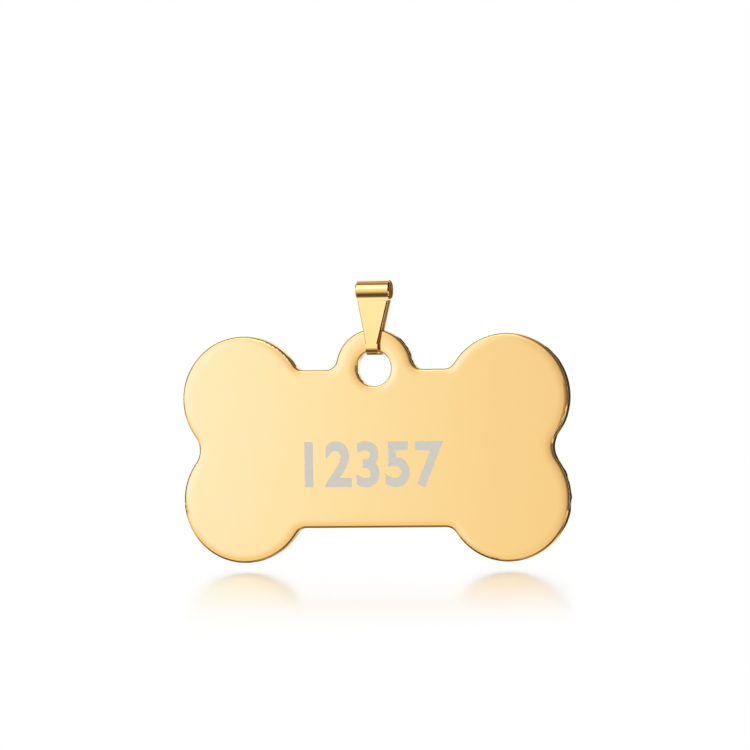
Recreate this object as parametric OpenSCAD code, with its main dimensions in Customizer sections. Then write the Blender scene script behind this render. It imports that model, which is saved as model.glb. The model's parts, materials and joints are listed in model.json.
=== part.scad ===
// Pet ID tag: a bone-shaped plate that hangs from a folded strip bail.
// X runs along the bone, Z is up and the marked face of the plate looks along -Y.
// The origin is the centre of the bail's rolled tube, which the chain passes through.

/* [Bone plate] */
// Overall length of the bone along X
tag_length = 40; // [36:0.5:60]
// Thickness of the plate
tag_t = 1.5; // [1.2:0.1:1.6]
// Radius of each of the four end lobes
lobe_r = 6.35; // [6:0.05:7]
// Height of a lobe's centre above or below the middle of the bone
lobe_rise = 5.08; // [4.6:0.01:5.6]
// Height of the shaft between its straight edges
shaft_h = 15.9; // [15:0.1:16.8]
// Radius of the hollow at each end, between two lobes
waist_r = 2.2; // [0.8:0.1:3.5]
// Radius in the corner where a lobe meets a straight edge
corner_r = 1.2; // [0.3:0.1:1.5]
// Radius of the tumbled edge round both faces
edge_r = 0.25; // [0.1:0.05:0.5]

/* [Ear and hole] */
// Radius of the round ear above the shaft
ear_r = 3.95; // [3.4:0.05:4.6]
// Height of the ear's centre above the shaft's top edge
ear_rise = 0.1; // [0:0.05:0.8]
// Radius where the ear runs into the straight edge
ear_fillet_r = 1.2; // [0.4:0.1:1.6]
// Diameter of the hole through the ear
hole_d = 3.6; // [3.3:0.1:4.2]
// Radius of the edge round the hole
hole_edge_r = 0.15; // [0.05:0.05:0.3]

/* [Bail] */
// Thickness of the bail's strip
strip_t = 0.3; // [0.2:0.05:0.35]
// Inner diameter of the rolled tube for the chain
roll_d = 1.4; // [1.3:0.1:2]
// Width of the roll along X
roll_w = 3.5; // [3:0.1:4.5]
// Width of a leg where it leaves the roll
leg_w = 3.3; // [2.9:0.1:4.5]
// Height from the bottom of the bend to the top of the roll
bail_h = 7.5; // [7.2:0.1:9]
// Loss of thickness on each face of the strip where it is bent
bend_loss = 0.005; // [0.002:0.001:0.01]
// Width of the strip in the hole
neck_w = 1.2; // [0.8:0.05:1.5]
// Gap between the legs where they run into the roll
throat_gap = 0.84; // [0.7:0.02:0.86]
// Gap between the legs at the top of the ear
leg_gap = 1.74; // [1.7:0.02:2.2]
// Outer radius of the bends at the foot
foot_r = 0.75; // [0.5:0.05:0.9]
// Inner radius of the crease between a leg and the roll
crease_r = 0.15; // [0.1:0.01:0.2]
// Height above the foot at which the front leg begins to widen
front_flare_rise = 1; // [0.9:0.1:1.4]
// Height above the foot at which the back leg begins to widen
back_flare_rise = 2; // [1:0.1:2.4]
// Width of the open seam between the roll's end and the back leg
seam_gap = 0.1; // [0.05:0.05:0.2]
// Width of the bevel along the legs' edges and the roll's ends
bevel_w = 0.12; // [0.05:0.01:0.14]

/* [Fit] */
// Clearance between the bend of the bail and the top of the hole
hang_gap = 0.06; // [0.04:0.01:0.15]

/* [Hidden] */
$fn = 96;
// How far a cutter or a clipping outline runs past what it cuts
overrun = 1;
// A step that places are rounded to before the rest is added
grain = 0.01;
gold = [0.96, 0.78, 0.45];

// Outline of the plate, drawn flat round the middle of the bone: X along it, Y up
shaft_y = shaft_h / 2;
lobe = [tag_length / 2 - lobe_r, lobe_rise];
corner_y = shaft_y + corner_r;
corner = [lobe.x - sqrt((lobe_r + corner_r) ^ 2 - (corner_y - lobe.y) ^ 2), corner_y];
waist = [lobe.x + sqrt((lobe_r + waist_r) ^ 2 - lobe.y ^ 2), 0];
ear = [0, shaft_y + ear_rise];
ear_fillet_y = shaft_y + ear_fillet_r;
ear_fillet = [sqrt((ear_r + ear_fillet_r) ^ 2 - (ear_fillet_y - ear.y) ^ 2), ear_fillet_y];
hole_r = hole_d / 2;

// Side view of the bail, round the centre of the roll: distance from its middle plane, then Z
roll_r = roll_d / 2;
roll_outer_r = roll_r + strip_t;
foot_z = roll_outer_r - bail_h;
crease_out = throat_gap / 2 + strip_t + crease_r;
crease = [crease_out, -sqrt((roll_outer_r + crease_r) ^ 2 - crease_out ^ 2)];

// The plate hangs where the corners of the strip meet the round top of the hole
hole_z = foot_z + strip_t + hang_gap - sqrt(hole_r ^ 2 - (neck_w / 2) ^ 2);
ear_top_z = hole_z + ear_r;

// Each leg leans out, so that it clears the plate by leg_gap at the top of the ear
lean_reach = [crease.x - leg_gap / 2, crease.y - ear_top_z];
lean = asin((crease_r + strip_t) / norm(lean_reach)) - atan2(lean_reach.x, lean_reach.y);
outward = [cos(lean), sin(lean)];
downward = [sin(lean), -cos(lean)];
front_flare_z = foot_z + front_flare_rise;
back_flare_z = foot_z + back_flare_rise;
foot_bend_z = foot_z + foot_r;
foot_bend = [(crease * outward - crease_r - foot_r - foot_bend_z * outward.y) / outward.x, foot_bend_z];

// Points of the side view: ends of the bends' outlines, and both faces of a leg at its top
reach = norm(crease);
crease_end = crease - reach * outward;
foot_end = foot_bend + reach * outward;
leg_top = crease - crease_r * outward;
leg_inner = leg_top - strip_t * outward;

// Moves to a point by whole grains first and by the rest after that
module place(point) {
    near = grain * [round(point.x / grain), round(point.y / grain)];
    translate(near) translate(point - near) children();
}

// A prism of the plate's thickness
module slab(points) {
    translate([0, 0, -tag_t / 2]) linear_extrude(tag_t) polygon(points);
}

// A prism that reaches past both faces, to clip or cut the plate
module clip(points) {
    clip_t = tag_t + 2 * overrun;
    translate([0, 0, -clip_t / 2]) linear_extrude(clip_t) polygon(points);
}

// Half a section through the plate, from x = 0 out to a tumbled edge at x = reach
module edge_section(reach) {
    flat_reach = reach - edge_r;
    straight_t = tag_t - 2 * edge_r;
    translate([0, -tag_t / 2]) square([flat_reach, tag_t]);
    translate([0, -straight_t / 2]) square([reach, straight_t]);
    for (side = [-1, 1])
        intersection() {
            translate([flat_reach, side * straight_t / 2]) circle(edge_r);
            translate([flat_reach, -tag_t / 2]) square([edge_r, tag_t]);
        }
}

// A round cutter that leaves a rounded edge where it meets the faces
module spool(hollow_r, round_r) {
    flare_r = hollow_r + round_r;
    straight_t = tag_t - 2 * round_r;
    rotate_extrude() difference() {
        translate([0, -tag_t / 2 - overrun]) square([flare_r, tag_t + 2 * overrun]);
        translate([hollow_r, -straight_t / 2]) square([round_r, straight_t]);
        for (side = [-1, 1])
            translate([flare_r, side * straight_t / 2]) circle(round_r);
    }
}

// A piece of the plate between straight cuts, hollowed round its first point
module web(points, hollow_r) {
    difference() {
        slab(points);
        place(points[0]) spool(hollow_r, edge_r);
    }
}

// The lobe runs from its corner round to the waist, where the webs take over
module lobe_slice() {
    reach = 2 * lobe_r;
    intersection() {
        place(lobe) rotate_extrude() edge_section(lobe_r);
        clip([lobe, corner, [corner.x, lobe.y + reach], [lobe.x + reach, lobe.y + reach],
            [lobe.x + reach, 0], waist]);
    }
}

// A quarter of the bone's end: a lobe, its corner and half of the waist
module end_quarter() {
    lobe_slice();
    web([corner, [corner.x, lobe.y], lobe], corner_r);
    web([waist, lobe, [lobe.x, 0]], waist_r);
    slab([[corner.x, 0], [lobe.x, 0], lobe, [corner.x, lobe.y]]);
}

// Half of the shaft, with room at the top for the foot of the ear
module shaft_half() {
    intersection() {
        rotate([90, 0, 90]) linear_extrude(corner.x)
            for (half = [0, 1])
                mirror([half, 0]) edge_section(shaft_y);
        clip([[0, -shaft_h], [shaft_h, -shaft_h], [shaft_h, shaft_h], ear_fillet,
            [ear_fillet.x, 0], [0, 0]]);
    }
}

// The round top of the ear, down to the fillets on both sides
module ear_slice() {
    reach = 2 * ear_r;
    left_fillet = [-ear_fillet.x, ear_fillet.y];
    intersection() {
        place(ear) rotate_extrude() edge_section(ear_r);
        clip([ear, ear_fillet, [reach, ear.y + reach], [-reach, ear.y + reach], left_fillet]);
    }
}

module bone_flat() {
    for (end = [0, 1])
        mirror([end, 0, 0]) {
            for (half = [0, 1])
                mirror([0, half, 0]) end_quarter();
            shaft_half();
            web([ear_fillet, [ear_fillet.x, 0], [0, 0], ear], ear_fillet_r);
        }
    ear_slice();
}

module tag_plate() {
    color(gold) translate([0, 0, hole_z - ear.y]) rotate([90, 0, 0]) difference() {
        bone_flat();
        place(ear) spool(hole_r, hole_edge_r);
    }
}

// A length of strip of the given width, drawn as its side view
module strip(width) {
    rotate([90, 0, 90]) linear_extrude(width, center = true) children();
}

// Side view of the strip round a centre, between two radii and clipped to an outline
module arc(centre, inner_r, outer_r, outline) {
    intersection() {
        place(centre) difference() {
            circle(outer_r);
            circle(inner_r);
        }
        polygon(outline);
    }
}

// A sharp bend, where the strip is a little thinner than it is in the roll and the legs
module bend(centre, inner_r, outline) {
    arc(centre, inner_r + bend_loss, inner_r + strip_t - bend_loss, outline);
}

// The roll with a crease on each side, where the strip turns back down into a leg
module roll() {
    strip(roll_w)
        for (side = [0, 1])
            mirror([side, 0]) {
                arc([0, 0], roll_r, roll_outer_r,
                    [[0, 0], crease, [reach, crease.y], [reach, reach], [0, reach]]);
                bend(crease, crease_r, [crease, [0, 0], crease_end]);
            }
}

// The foot runs flat through the hole of the plate and turns up into a leg on each side
module foot() {
    strip(neck_w)
        for (side = [0, 1])
            mirror([side, 0]) {
                bend(foot_bend, foot_r - strip_t,
                    [foot_bend, foot_end, [foot_end.x, foot_z - reach], [foot_bend.x, foot_z - reach]]);
                translate([0, foot_z]) square([foot_bend.x, strip_t]);
            }
}

// The back leg leans out on its way down, and tapers from the roll to the neck
module leg(flare_z) {
    half_leg = leg_w / 2;
    half_neck = neck_w / 2;
    intersection() {
        strip(roll_w) intersection() {
            polygon([leg_top - reach * downward, leg_top + bail_h * downward,
                leg_inner + bail_h * downward, leg_inner - reach * downward]);
            polygon([crease, crease_end, foot_bend, foot_end]);
        }
        rotate([90, 0, 0]) linear_extrude(2 * bail_h, center = true)
            polygon([[-half_leg, crease.y], [half_leg, crease.y], [half_neck, flare_z],
                [half_neck, foot_z], [-half_neck, foot_z], [-half_neck, flare_z]]);
    }
}

// A bevel cutter along the edges of the back leg, from just under the crease to just above the neck
module leg_bevels(flare_z) {
    drop = (crease.y - flare_z) / outward.x;
    taper = atan2((leg_w - neck_w) / 2, drop);
    edge_l = drop / cos(taper);
    for (side = [0, 1])
        mirror([side, 0, 0]) translate([leg_w / 2, leg_top.x, leg_top.y]) rotate([lean, 0, 0])
            rotate([0, taper, 0]) translate([0, 0, bevel_w - edge_l])
                linear_extrude(edge_l - bevel_w - strip_t)
                    polygon([[-bevel_w, 0], [0, -bevel_w], [bevel_w, 0], [0, bevel_w]]);
}

// A bevel cutter round the outer rim at both ends of the roll
module roll_bevels() {
    for (side = [0, 1])
        mirror([side, 0, 0]) rotate([0, 90, 0]) rotate_extrude()
            translate([roll_outer_r, roll_w / 2])
                polygon([[-bevel_w, 0], [0, -bevel_w], [bevel_w, 0], [0, bevel_w]]);
}

// The seam opens a little way below the crease at the back
module seam() {
    top = crease + seam_gap * downward;
    end = top - (crease_r + strip_t + throat_gap / 4) * outward;
    strip(roll_w + 2 * overrun)
        polygon([top, end, end + seam_gap * downward, top + seam_gap * downward]);
}

module bail() {
    color(gold) difference() {
        union() {
            roll();
            foot();
            leg(back_flare_z);
            mirror([0, 1, 0]) leg(front_flare_z);
        }
        seam();
        roll_bevels();
        leg_bevels(back_flare_z);
        mirror([0, 1, 0]) leg_bevels(front_flare_z);
    }
}

tag_plate();
bail();
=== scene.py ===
# %% [markdown]
# # A bone-shaped pet ID tag on its folded bail
# The tag is two pieces of gold-coated steel: a thick plate stamped in the shape of a bone, and a thin
# strip folded through the hole in its ear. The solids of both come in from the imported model, in metres
# and in place. This script gives them the crowned faces, the polish, the mark and the studio that a
# photograph shows, and changes none of their sizes.

import json
import math

import bpy
from mathutils import Matrix, Vector

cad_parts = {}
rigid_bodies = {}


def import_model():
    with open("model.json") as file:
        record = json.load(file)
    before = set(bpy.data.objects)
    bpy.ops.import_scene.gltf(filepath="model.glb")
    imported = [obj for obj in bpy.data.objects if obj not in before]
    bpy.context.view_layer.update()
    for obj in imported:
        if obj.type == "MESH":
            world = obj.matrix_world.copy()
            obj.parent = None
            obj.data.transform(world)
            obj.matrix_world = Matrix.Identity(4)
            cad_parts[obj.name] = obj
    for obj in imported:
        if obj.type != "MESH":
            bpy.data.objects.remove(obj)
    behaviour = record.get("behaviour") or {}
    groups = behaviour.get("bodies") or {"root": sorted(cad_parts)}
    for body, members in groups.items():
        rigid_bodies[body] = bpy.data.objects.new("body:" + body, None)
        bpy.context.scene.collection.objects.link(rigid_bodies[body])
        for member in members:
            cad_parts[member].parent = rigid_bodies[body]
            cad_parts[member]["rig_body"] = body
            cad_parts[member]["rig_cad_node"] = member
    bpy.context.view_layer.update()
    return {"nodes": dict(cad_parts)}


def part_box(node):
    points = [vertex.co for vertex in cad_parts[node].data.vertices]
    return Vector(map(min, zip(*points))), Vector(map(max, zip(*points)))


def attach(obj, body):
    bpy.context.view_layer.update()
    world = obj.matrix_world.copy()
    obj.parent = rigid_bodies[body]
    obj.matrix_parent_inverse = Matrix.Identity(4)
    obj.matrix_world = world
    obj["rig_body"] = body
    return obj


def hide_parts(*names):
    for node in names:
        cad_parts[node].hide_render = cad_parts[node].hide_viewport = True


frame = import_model()
MM = 0.001

# %% [markdown]
# ## The places that everything else is measured from
# The middle of the bone is the height that the camera and the number are placed by. The plate's own box
# can't give it as its centre, because the ear stands on the top edge. But the bone is the same above and
# below its middle, so the middle lies above the plate's lowest point by as much as a lobe reaches down.

# %% Measure the plate
plate_low, plate_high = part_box("tag_plate")
plate_t = plate_high.y - plate_low.y
lobe_r = 6.35 * MM
lobe_rise = 5.08 * MM
bone_z = plate_low.z + lobe_rise + lobe_r
print("plate:", round(plate_t / MM, 3), "mm thick, its middle at z =", round(bone_z / MM, 3), "mm")

# %% [markdown]
# ## Camera
# A long lens far from a small subject keeps its perspective flat, as in most shop photographs. The
# camera stands a little to the right of the tag and just above its middle, so the right-hand walls of
# the plate show as thin lines. The direction is built from three angles, and the three axes of the
# camera go straight into its matrix, which leaves no doubt about the order of the turns. The standard
# view keeps white paper white, and a dozen bounces let light out of the slit between the bail's legs.

# %% Camera
sensor_w = 36
focal_length = 322.4
view_distance = 674.7 * MM
view_lift = 7.534 * MM
aim_x = -0.146 * MM
aim_drop = 0.16 * MM
yaw = math.radians(14.946)
pitch = math.radians(0.359)
roll = math.radians(-0.819)
slit_bounces = 12

aim = Vector((aim_x, 0, bone_z - aim_drop))
forward = Vector((-math.sin(yaw) * math.cos(pitch), math.cos(yaw) * math.cos(pitch), -math.sin(pitch)))
level_right = Vector((math.cos(yaw), math.sin(yaw), 0))
level_up = level_right.cross(forward)
right = level_right * math.cos(roll) + level_up * math.sin(roll)
up = level_up * math.cos(roll) - level_right * math.sin(roll)

bpy.ops.object.select_all(action="DESELECT")
bpy.ops.object.camera_add(location=aim - forward * view_distance + up * view_lift)
camera = bpy.context.active_object
camera.name = "camera"
camera.rotation_euler = Matrix((right, up, -forward)).transposed().to_euler()
camera.data.sensor_width = sensor_w
camera.data.lens = focal_length
camera.data.clip_start = 0.01
camera.data.clip_end = 20
camera.data.dof.use_dof = False
bpy.context.scene.camera = camera
bpy.context.scene.view_settings.view_transform = "Standard"
bpy.context.scene.cycles.glossy_bounces = slit_bounces
print("camera at", [round(value, 4) for value in camera.location])

# %% [markdown]
# ## Shader maths
# A finish is mostly sums: a noise times a strength plus a base value. Written with nodes alone, each
# sum takes five lines, so a small class wraps a socket and lets Python's own operators add the Math
# nodes. Every other node comes from one method, which sets the node up first and links it after that.


# %% A small language for shaders
class Signal:
    """A value on its way through a shader."""

    def __init__(self, shader, socket):
        self.shader = shader
        self.socket = socket

    def maths(self, operation, first, second=0.0):
        return self.shader.add("ShaderNodeMath", {"operation": operation}, {0: first, 1: second})

    def __add__(self, other):
        return self.maths("ADD", self, other)

    __radd__ = __add__

    def __sub__(self, other):
        return self.maths("SUBTRACT", self, other)

    def __rsub__(self, other):
        return self.maths("SUBTRACT", other, self)

    def __mul__(self, other):
        return self.maths("MULTIPLY", self, other)

    __rmul__ = __mul__

    def __truediv__(self, other):
        return self.maths("DIVIDE", self, other)

    def __neg__(self):
        return self.maths("MULTIPLY", self, -1.0)

    def __abs__(self):
        return self.maths("ABSOLUTE", self)

    def larger(self, other):
        return self.maths("MAXIMUM", self, other)


class Shader:
    """A node tree that is built by calls."""

    def __init__(self, owner):
        owner.use_nodes = True
        self.tree = owner.node_tree
        self.tree.nodes.clear()

    def add(self, kind, settings=None, inputs=None, output=0):
        node = self.tree.nodes.new(kind)
        for key, value in (settings or {}).items():
            if key == "stops":
                self.set_stops(node.color_ramp, value)
            else:
                setattr(node, key, value)
        for key, value in (inputs or {}).items():
            if isinstance(value, Signal):
                self.tree.links.new(value.socket, node.inputs[key])
            else:
                node.inputs[key].default_value = value
        return Signal(self, node.outputs[output]) if node.outputs else None

    def set_stops(self, ramp, stops):
        while len(ramp.elements) < len(stops):
            ramp.elements.new(1.0)
        for element, (position, colour) in zip(ramp.elements, stops):
            element.position = position
            element.color = colour

    def ramp(self, value, stops):
        """A colour that follows a value: each stop is a value and its colour."""
        low, high = stops[0][0], stops[-1][0]
        places = [((at - low) / (high - low), colour) for at, colour in stops]
        return self.add("ShaderNodeValToRGB", {"stops": places}, {"Fac": (value - low) / (high - low)})

    def step(self, value, start, end):
        """0 before start, 1 past end and a soft rise between them."""
        return self.add(
            "ShaderNodeMapRange",
            {"interpolation_type": "SMOOTHSTEP"},
            {"Value": value, "From Min": start, "From Max": end},
        )

    def blend(self, factor, first, second):
        """A colour between two colours."""
        return self.add(
            "ShaderNodeMix",
            {"data_type": "RGBA"},
            {"Factor": factor, 6: first, 7: second},
            output=2,
        )


print("shader helpers ready")

# %% [markdown]
# ## The studio
# Polished metal has no colour of its own to show: it shows the room. An image of a real studio would do,
# but a gradient by direction is lighter and every light in it can be placed. So the room is one, like
# the card tent that such small goods are photographed in. It is described by the direction that a
# mirrored ray takes: how far it goes across to the right, how far along to the back, how high, and its
# bearing, counted in degrees to the right from the front.

# %% Directions in the room
world = bpy.data.worlds.new("studio")
bpy.context.scene.world = world
room = Shader(world)
looked_at = room.add("ShaderNodeTexCoord", output="Generated")
across, along, height = (
    room.add("ShaderNodeSeparateXYZ", inputs={"Vector": looked_at}, output=axis) for axis in "XYZ"
)
bearing = across.maths("ARCTAN2", across, -along) * math.degrees(1)
tilt = abs(height)
print("room measured across, along, up and by bearing")

# %% [markdown]
# ## The tent's wall and belts
# At the height of the tag the tent's wall turns from white on the left to a warm shade on the right. The
# flat face of the plate mirrors the direction 15 degrees left of the front, just where that turn is, so
# a slow change from cream to deep gold runs along the bone, and any slope that leans right mirrors the
# shade. Above and below, the tent has lighter and darker belts, which draw the bands along the roll. One
# of them, a little below the level, goes all round: it stands for the lit table, and keeps the faces
# bright for an eye that looks down on them.

# %% Wall and belts
room_light = 2.0
wall_shades = (
    (-180, (1.0, 1.0, 1.0)),
    (-60, (1.0, 1.05, 1.15)),
    (-30, (1.1, 1.24, 1.58)),
    (-16.6, (1.06, 1.18, 1.52)),
    (-16.1, (1.04, 1.12, 1.36)),
    (-15.5, (1.02, 1.06, 1.09)),
    (-14.9, (1.01, 1.0, 0.98)),
    (-14.3, (1.0, 0.91, 0.77)),
    (-13.5, (0.95, 0.84, 0.7)),
    (-12, (0.87, 0.74, 0.57)),
    (-8, (0.74, 0.57, 0.38)),
    (-3, (0.6, 0.43, 0.26)),
    (5, (0.46, 0.32, 0.18)),
    (35, (0.3, 0.2, 0.11)),
    (50, (0.12, 0.08, 0.05)),
    (65, (1.2, 1.15, 1.1)),
    (180, (1.0, 1.0, 1.0)),
)
belt_shades = (
    (-1, (0.06, 0.045, 0.03)),
    (-0.62, (0.1, 0.07, 0.04)),
    (-0.45, (0.5, 0.38, 0.25)),
    (-0.3, (0.95, 0.83, 0.62)),
    (-0.22, (1.0, 0.9, 0.7)),
    (-0.1, (0.95, 0.78, 0.54)),
    (0.08, (1.02, 0.97, 0.86)),
    (0.26, (1.02, 0.97, 0.86)),
    (0.34, (1.5, 1.5, 1.5)),
    (0.83, (1.5, 1.5, 1.45)),
    (0.93, (1.05, 1.05, 0.95)),
    (1, (0.8, 0.66, 0.45)),
)
table_starts = (-0.6, -0.4)
table_ends = (-0.23, -0.18)
wall_ends_above = (0.03, 0.15)
wall_ends_below = (0.0, 0.12)
belts_end_at = (-12, -2)


def lit(red, green, blue):
    """A colour of the room as a share of its light, ready for a node."""
    return (red / room_light, green / room_light, blue / room_light, 1.0)


wall = room.ramp(bearing, [(at, lit(*colour)) for at, colour in wall_shades])
belts = room.ramp(height, [(at, lit(*colour)) for at, colour in belt_shades])
table = room.step(height, *table_starts) * (1.0 - room.step(height, *table_ends))
off_wall = room.step(height, *wall_ends_above) + room.step(-height, *wall_ends_below)
off_wall = off_wall * (1.0 - room.step(bearing, *belts_end_at))
seen = room.blend(off_wall.larger(table), wall, belts)
print("tent with", len(wall_shades), "shades along its wall and", len(belt_shades), "belts")

# %% [markdown]
# ## Folds and paper
# A perfectly even room makes a mirror look like a flat colour. The cloth of a real tent hangs in soft
# folds, and a low noise stands for them. They stay away from what the face and the top of the roll
# mirror in the photograph. Straight behind the tag hangs white paper, which the left-hand walls mirror.

# %% Folds and paper
face_bearing = -15
fold_scale = 6
fold_share = 0.5
fold_shade = lit(0.5, 0.37, 0.22)
white_paper = lit(1.0, 1.0, 1.0)

cloth = room.add("ShaderNodeTexNoise", inputs={"Vector": looked_at, "Scale": fold_scale, "Detail": 0})
beside_face = room.step(abs(bearing - face_bearing), 8, 20)
off_level = room.step(tilt, 0.12, 0.22)
over_roll = room.step(-along, 0.5, 0.8) * room.step(height, -0.1, 0.0)
folds = beside_face.larger(off_level) * room.step(cloth, 0.35, 0.65)
seen = room.blend(folds * (1.0 - over_roll) * fold_share, seen, fold_shade)
seen = room.blend(room.step(along, 0.6, 0.75) * (1.0 - off_level), seen, white_paper)
print("folds hung around bearing", face_bearing)

# %% [markdown]
# ## A ring of black card
# Gold in front of white paper would fade into it. Photographers stand black card at the sides, just out
# of the picture, and every rounded rim then mirrors it as a thin dark line. Each side has its own card,
# given by how far along it is: 1 is card and 0 is a gap. The gap on the left is for the bevels of the
# bail. The lit table covers the cards' feet, and far up and down the card is only brown.

# %% Black ring
left_cards = (
    (-1, 0),
    (-0.5, 0),
    (-0.35, 1),
    (0.16, 1),
    (0.21, 0),
    (0.31, 0),
    (0.36, 1),
    (0.5, 1),
    (0.64, 0),
    (1, 0),
)
right_cards = (
    (-1, 0),
    (-0.6, 0),
    (-0.4, 1),
    (0.5, 1),
    (0.62, 0),
    (0.7, 0),
    (0.78, 1),
    (0.88, 1),
    (0.93, 0),
    (1, 0),
)
middle_seam = (-0.1, 0.1)
brown_from = (0.85, 0.97)
black_card = lit(0.06, 0.045, 0.035)
brown_card = lit(0.42, 0.29, 0.16)

left_ring, right_ring = (
    room.ramp(along, [(at, (share, share, share, 1)) for at, share in cards])
    for cards in (left_cards, right_cards)
)
on_right = room.step(across, *middle_seam)
ring = left_ring * (1.0 - on_right) + right_ring * on_right
card_shade = room.blend(room.step(tilt, *brown_from), black_card, brown_card)
seen = room.blend(ring * (1.0 - table), seen, card_shade)
print("ring with", len(left_cards), "and", len(right_cards), "stops")

# %% [markdown]
# ## What the camera sees behind it all
# The tent must not show in the picture itself, so rays straight from the camera see plain white paper,
# and all other rays see the tent.

# %% Backdrop
from_camera = room.add("ShaderNodeLightPath", output="Is Camera Ray")
tent = room.add("ShaderNodeBackground", inputs={"Color": seen, "Strength": room_light})
backdrop = room.add("ShaderNodeBackground", inputs={"Color": (1, 1, 1, 1), "Strength": 1.0})
studio = room.add("ShaderNodeMixShader", inputs={0: from_camera, 1: tent, 2: backdrop})
room.add("ShaderNodeOutputWorld", inputs={"Surface": studio})
print("studio ready")

# %% [markdown]
# ## Floor
# The tag stands on its lower lobes, a hair above a clear sheet over white paper that is lit until it
# is as white as the backdrop, so no horizon shows. Like any varnish or glass, the sheet mirrors strongly
# at the photograph's low angle and hardly at all from above. That gives the pale reflection below the
# tag. The polish is best in an oval patch under the tag, which is long towards the camera, and thins out
# towards the rim of the patch. The metal doesn't mirror the sheet: at this low angle it would fill the
# whole face, and the room's own gradient would be lost.

# %% Floor
floor_gap = 0.55 * MM
floor_size = 6.0
polish_share = 0.95
full_polish = 0.03
patch_w = 60 * MM
patch_length = 150 * MM
sheet_ior = 1.5
sheet_roughness = 0.09

bpy.ops.object.select_all(action="DESELECT")
bpy.ops.mesh.primitive_plane_add(size=floor_size, location=(0, 0, plate_low.z - floor_gap))
floor = bpy.context.active_object
floor.name = "floor"
floor.visible_glossy = False
bpy.ops.object.transform_apply()

clear_sheet = bpy.data.materials.new("clear_sheet")
sheet = Shader(clear_sheet)
spot = sheet.add("ShaderNodeTexCoord", output="Object")
patch = sheet.add(
    "ShaderNodeMapping",
    {"vector_type": "TEXTURE"},
    {"Vector": spot, "Rotation": (0, 0, yaw), "Scale": (patch_w, patch_length, 1)},
)
reach = sheet.add("ShaderNodeVectorMath", {"operation": "LENGTH"}, {0: patch}, output="Value")
polish = 1.0 - sheet.step(reach, full_polish, 1)
mirroring = sheet.add("ShaderNodeFresnel", inputs={"IOR": sheet_ior})
clear = sheet.add("ShaderNodeBsdfTransparent", inputs={"Color": (1, 1, 1, 1)})
gloss = sheet.add("ShaderNodeBsdfGlossy", inputs={"Color": (1, 1, 1, 1), "Roughness": sheet_roughness})
surface = sheet.add(
    "ShaderNodeMixShader",
    inputs={0: mirroring * polish * polish_share, 1: clear, 2: gloss},
)
sheet.add("ShaderNodeOutputMaterial", inputs={"Surface": surface})
floor.data.materials.append(clear_sheet)
print("floor at z =", round((plate_low.z - floor_gap) / MM, 2), "mm")

# %% [markdown]
# ## Lamp
# One soft box hangs overhead. It lights the matt number, which the room's warm gradient alone would turn
# brown. The metal doesn't mirror the box, so it leaves no square highlight on the polish.

# %% Lamp
lamp_place = Vector((-0.1, -0.12, 0.6))
lamp_size = 0.4
lamp_power = 6.6

bpy.ops.object.select_all(action="DESELECT")
bpy.ops.object.light_add(type="AREA", location=lamp_place)
lamp = bpy.context.active_object
lamp.name = "overhead_box"
lamp.data.shape = "SQUARE"
lamp.data.size = lamp_size
lamp.data.energy = lamp_power
lamp.visible_glossy = False
lamp.rotation_euler = lamp_place.to_track_quat("Z", "Y").to_euler()
print("lamp:", lamp.name)

# %% [markdown]
# ## Dark cards behind the tag
# The walls on the right of the plate mirror what stands behind it on the right. Dark cards there draw
# the strong line down the right-hand side of the tag. They stand beside the path of the walls on the
# left and of the hole, which still mirror white paper. Together they make one stepped board. Only the
# metal and the floor's polish see them.

# %% Cards
board_y = 100 * MM
board_end = 70
board_steps = (
    (26.4, -52, 8),
    (20, 8, 15),
    (13, 15, 19),
    (-2, 19, 45),
)
board_colour = (0.06, 0.045, 0.035, 1)

black_paper = bpy.data.materials.new("black_paper")
board_shader = Shader(black_paper)
dark = board_shader.add("ShaderNodeBsdfDiffuse", inputs={"Color": board_colour})
board_shader.add("ShaderNodeOutputMaterial", inputs={"Surface": dark})
for index, (start, bottom, top) in enumerate(board_steps):
    middle = Vector(((start + board_end) / 2 * MM, board_y, (bottom + top) / 2 * MM))
    bpy.ops.object.select_all(action="DESELECT")
    bpy.ops.mesh.primitive_plane_add(size=1, location=middle, rotation=(math.pi / 2, 0, 0))
    board = bpy.context.active_object
    board.name = f"dark_card_{index}"
    board.scale = ((board_end - start) * MM, (top - bottom) * MM, 1)
    bpy.ops.object.transform_apply(location=True, rotation=True, scale=True)
    board.data.materials.append(black_paper)
    board.visible_camera = False
    board.visible_diffuse = False
    board.visible_shadow = False
print("cards:", len(board_steps))

# %% [markdown]
# ## Polished gold coating
# Both pieces are stainless steel, polished until it mirrors and then coated with a film of
# gold-coloured metal about a micron thick. Such a surface isn't a perfect mirror. Tumbling leaves a
# faint orange peel, a fraction of a micron deep and a couple of millimetres across, and handling
# leaves fine hairlines and slightly duller patches. The colour and the metallic value are the same
# all over, so they are plain numbers. The patches change the roughness, and the peel and the
# hairlines are one height for a single bump. Where the buffing wheel can't reach, the surface stays
# satin, and an attribute of the mesh says where that is.

# %% Gold material
gold_colour = (0.98, 0.74, 0.36, 1.0)
mirror_roughness = 0.05
satin_roughness = 0.3
patch_scale = 180
peel_scale = 420
hairline_scale = (500, 9000, 9000)
hairline_depth = 0.0002 * MM


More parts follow.
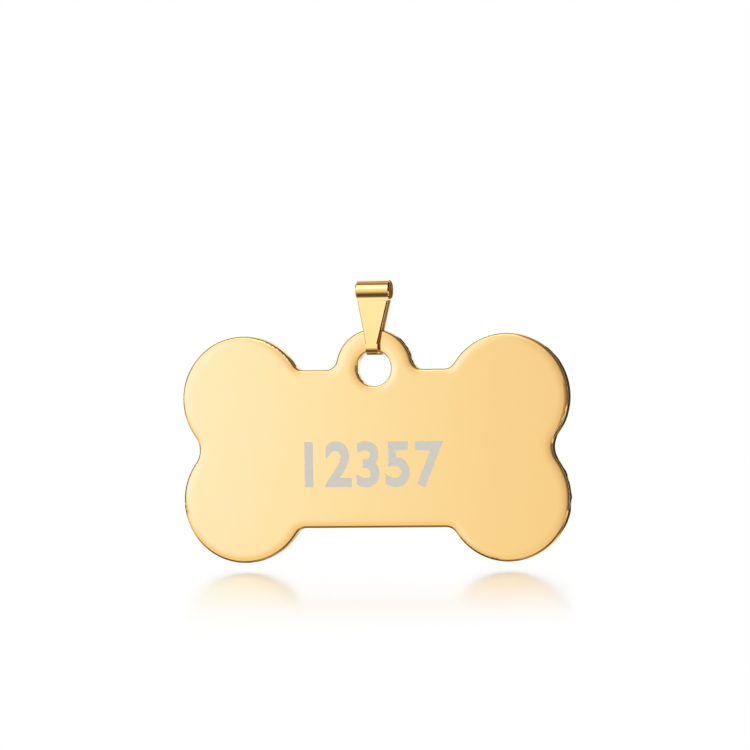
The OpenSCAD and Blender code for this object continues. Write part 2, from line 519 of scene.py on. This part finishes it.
def polished_gold(name, dullness, peel_depth, grain_turn):
    """Mirror-polished gold coating with hairlines along one direction, satin where it is unbuffed."""
    material = bpy.data.materials.new(name)
    paint = Shader(material)
    place = paint.add("ShaderNodeTexCoord", output="Object")
    patches = paint.add("ShaderNodeTexNoise", inputs={"Vector": place, "Scale": patch_scale, "Detail": 3})
    peel = paint.add("ShaderNodeTexNoise", inputs={"Vector": place, "Scale": peel_scale, "Detail": 1})
    drawn = paint.add(
        "ShaderNodeMapping",
        inputs={"Vector": place, "Rotation": (0, grain_turn, 0), "Scale": hairline_scale},
    )
    hairlines = paint.add("ShaderNodeTexNoise", inputs={"Vector": drawn, "Scale": 1, "Detail": 2})
    unbuffed = paint.add("ShaderNodeAttribute", {"attribute_name": "unbuffed"}, output="Fac")
    roughness = mirror_roughness + patches * dullness + unbuffed * satin_roughness
    relief = peel * peel_depth + hairlines * hairline_depth
    bump = paint.add("ShaderNodeBump", inputs={"Strength": 1.0, "Distance": 1.0, "Height": relief})
    metal = paint.add(
        "ShaderNodeBsdfPrincipled",
        inputs={"Base Color": gold_colour, "Metallic": 1.0, "Roughness": roughness, "Normal": bump},
    )
    paint.add("ShaderNodeOutputMaterial", inputs={"Surface": metal})
    return material


plate_gold = polished_gold("plate_gold", dullness=0.04, peel_depth=0.0012 * MM, grain_turn=0.35)
strip_gold = polished_gold("strip_gold", dullness=0.07, peel_depth=0.0008 * MM, grain_turn=1.4)
print("materials:", plate_gold.name, strip_gold.name)

# %% [markdown]
# ## Working on a copy of a solid
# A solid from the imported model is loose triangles, and it has to stay as it is. So each visible piece
# starts as a copy whose triangles are merged, which makes it one closed skin that the edit-mode tools
# can follow. Faces are then picked in code by the way they look.


# %% Helpers for copies
merge_distance = 0.0002 * MM


def copied(node, name):
    """A copy of a solid's skin, merged, under a name of its own."""
    bpy.ops.object.select_all(action="DESELECT")
    solid = frame["nodes"][node]
    solid.select_set(True)
    bpy.context.view_layer.objects.active = solid
    bpy.ops.object.duplicate()
    piece = bpy.context.active_object
    piece.name = name
    piece.data.name = name
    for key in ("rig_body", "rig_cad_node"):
        del piece[key]
    bpy.ops.object.parent_clear(type="CLEAR_KEEP_TRANSFORM")
    piece.data.materials.clear()
    bpy.ops.mesh.customdata_custom_splitnormals_clear()
    bpy.ops.object.mode_set(mode="EDIT")
    bpy.ops.mesh.select_all(action="SELECT")
    bpy.ops.mesh.remove_doubles(threshold=merge_distance)
    bpy.ops.object.mode_set(mode="OBJECT")
    return piece


def select_faces(piece, wanted):
    """Opens the piece in edit mode with only the wanted faces selected."""
    bpy.ops.object.select_all(action="DESELECT")
    piece.select_set(True)
    bpy.context.view_layer.objects.active = piece
    bpy.ops.object.mode_set(mode="EDIT")
    bpy.ops.mesh.select_mode(type="FACE")
    bpy.ops.mesh.select_all(action="DESELECT")
    bpy.ops.object.mode_set(mode="OBJECT")
    chosen = 0
    for face in piece.data.polygons:
        face.select = wanted(face)
        chosen += face.select
    bpy.ops.object.mode_set(mode="EDIT")
    return chosen


def smooth(piece, sharp_from):
    """Smooth shading up to an angle, led by the large faces, so flat walls stay flat to their rims."""
    bpy.ops.object.shade_smooth_by_angle(angle=math.radians(sharp_from))
    weighted = piece.modifiers.new("weighted", "WEIGHTED_NORMAL")
    weighted.keep_sharp = True
    bpy.ops.object.modifier_apply(modifier=weighted.name)


def dress(piece, node, body, material):
    """The finished piece stands for its solid, moves with its body and wears its material."""
    piece.data.materials.append(material)
    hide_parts(node)
    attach(piece, body)
    print(piece.name, "has", len(piece.data.polygons), "faces")


print("copy helpers ready")

# %% [markdown]
# ## The bone-shaped plate
# The blank is stamped, then tumbled and buffed, and buffing takes more from the rims than from the
# middle. So each face is flat in the middle and falls away a few hundredths of a millimetre towards
# the outline and the hole, and that slope is what catches the light as a glowing or a dark rim. A
# bevel can't give such a wide and shallow slope. A row of narrow insets can: each one steps inwards and
# a little outwards, steeply at first and hardly at all at the end. The copy is made thinner by what
# the insets add, so the finished plate is as thick as the solid.

# %% Plate
ring_w = 0.16 * MM
ring_slopes = (2.8, 1.6, 0.9, 0.4, 0.15)
ring_rises = [ring_w * math.tan(math.radians(slope)) for slope in ring_slopes]
last_ring_w = ring_w / 3
crown = sum(ring_rises)
flat_enough = 0.9999

plate = copied("tag_plate", "bone_plate")
select_faces(plate, lambda face: True)
bpy.ops.transform.resize(value=(1, 1 - 2 * crown / plate_t, 1), center_override=(0, 0, 0))
bpy.ops.object.mode_set(mode="OBJECT")
for side in (-1, 1):
    count = select_faces(plate, lambda face: face.normal.y * side > flat_enough)
    for rise in ring_rises:
        bpy.ops.mesh.inset(thickness=ring_w, depth=rise)
    bpy.ops.mesh.inset(thickness=last_ring_w, depth=0)
    bpy.ops.object.mode_set(mode="OBJECT")
    print("side", side, "crowned from", count, "flat faces")
smooth(plate, sharp_from=35)
dress(plate, "tag_plate", "tag_plate", plate_gold)

# %% [markdown]
# ## The strip bail
# The bail is the thin strip itself, with its roll, its two legs and the bend that runs through the
# hole. Its shape is all in the solid, down to the bevels that the stamping leaves along its edges. It
# needs no more than a merged skin that is smooth round the bends and sharp at the edges of the strip.
# The side of the strip that ends up inside the fold is never buffed. A face is on it when it looks
# towards the middle of the bail: the axis of the bore above, and the plane between the legs below.

# %% Bail
looks_inwards = -0.5

bail = copied("bail", "strip_bail")
smooth(bail, sharp_from=30)
unbuffed = bail.data.attributes.new("unbuffed", "FLOAT", "FACE")
for face in bail.data.polygons:
    outwards = Vector((0, face.center.y, max(face.center.z, 0)))
    inside = face.normal.dot(outwards.normalized()) < looks_inwards
    unbuffed.data[face.index].value = float(inside)
print("inside faces:", sum(item.value > 0 for item in unbuffed.data))
dress(bail, "bail", "bail", strip_gold)

# %% [markdown]
# ## The number on the face
# A laser turns the coating of such a tag into a matt grey mark. It has hardly any depth, but a flat
# picture on the face would flicker where two surfaces share a plane. So the digits are a slab a few
# microns proud of the face, made from a text object, turned into a mesh and set upright. The slab goes
# as deep into the plate as it stands out of it, so no gap shows under its rims.

# %% Digits
digits = "12357"
mark_w = 14.4 * MM
mark_h = 4.7 * MM
mark_x = -0.1 * MM
mark_drop = 1.6 * MM
proud = 0.005 * MM
text_depth = 0.02
bolder = 0.03
letter_space = 1.1
text_weld = 0.00001

bpy.ops.object.select_all(action="DESELECT")
bpy.ops.object.text_add()
number = bpy.context.active_object
number.name = "laser_number"
number.data.body = digits
number.data.extrude = text_depth
number.data.offset = bolder
number.data.space_character = letter_space
bpy.ops.object.convert(target="MESH")
bpy.ops.object.mode_set(mode="EDIT")
bpy.ops.mesh.select_all(action="SELECT")
bpy.ops.mesh.remove_doubles(threshold=text_weld)
bpy.ops.mesh.normals_make_consistent(inside=False)
bpy.ops.object.mode_set(mode="OBJECT")
bpy.ops.object.origin_set(type="ORIGIN_GEOMETRY", center="BOUNDS")
raw = number.dimensions.copy()
number.scale = (mark_w / raw.x, mark_h / raw.y, 2 * proud / raw.z)
number.rotation_euler = (math.pi / 2, 0, 0)
number.location = (mark_x, plate_low.y, bone_z - mark_drop)
bpy.ops.object.transform_apply(location=True, rotation=True, scale=True)
print("number", digits, "is", round(number.dimensions.x / MM, 2), "mm wide")

# %% [markdown]
# ## Laser grey
# The burnt coating is a mat of tiny pits, so it scatters light and has a fine speckle. One noise gives
# both the speckle of the tone and the change in roughness.

# %% Laser grey
speckle_scale = 9000
dark_grey = (0.67, 0.7, 0.7, 1)
pale_grey = (0.83, 0.87, 0.88, 1)
least_roughness = 0.45
speckle_roughness = 0.2

etched = bpy.data.materials.new("laser_grey")
grey = Shader(etched)
on_mark = grey.add("ShaderNodeTexCoord", output="Object")
speckle = grey.add("ShaderNodeTexNoise", inputs={"Vector": on_mark, "Scale": speckle_scale, "Detail": 2})
tone = grey.blend(speckle, dark_grey, pale_grey)
matt_grey = grey.add(
    "ShaderNodeBsdfPrincipled",
    inputs={
        "Base Color": tone,
        "Roughness": least_roughness + speckle * speckle_roughness,
        "Metallic": 0.0,
    },
)
grey.add("ShaderNodeOutputMaterial", inputs={"Surface": matt_grey})
number.data.materials.append(etched)
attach(number, "tag_plate")
print("number coated with", etched.name)
